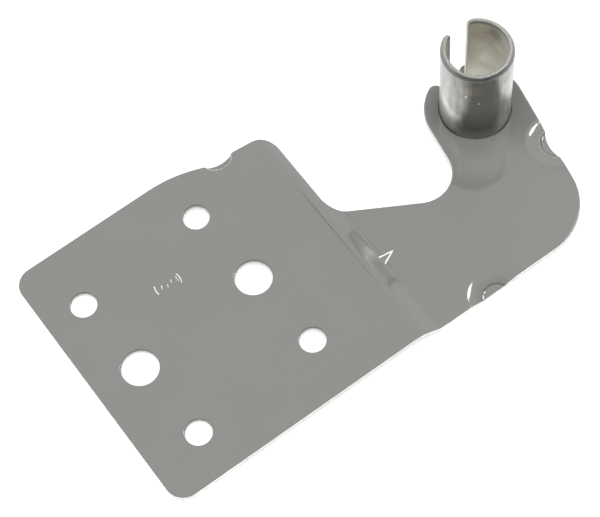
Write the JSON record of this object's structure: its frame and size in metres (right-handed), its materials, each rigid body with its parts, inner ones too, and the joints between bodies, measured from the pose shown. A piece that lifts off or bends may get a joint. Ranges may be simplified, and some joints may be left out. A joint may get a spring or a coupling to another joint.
{
  "type": "fridge door hinge",
  "caption": "Upper hinge for a fridge door: a stepped pressed-steel plate with screw and locating holes, and a hollow open-seam pin staked in its slotted boss.",
  "frame": {"origin": "centre of the four screw holes, on the face that lies on the cabinet", "axes": "+X and +Y along the rows of screw holes, +X from the base towards the pin, +Z the way the pin stands"},
  "size_m": [0.1414, 0.0847, 0.0325],
  "materials": {
    "plate": "smooth warm grey paint, fairly glossy",
    "pin": "smooth plated steel, glossy, with light wear"
  },
  "bodies": {
    "root": {"hinge_plate": "plate", "hinge_pin": "pin"}
  },
  "joints": []
}
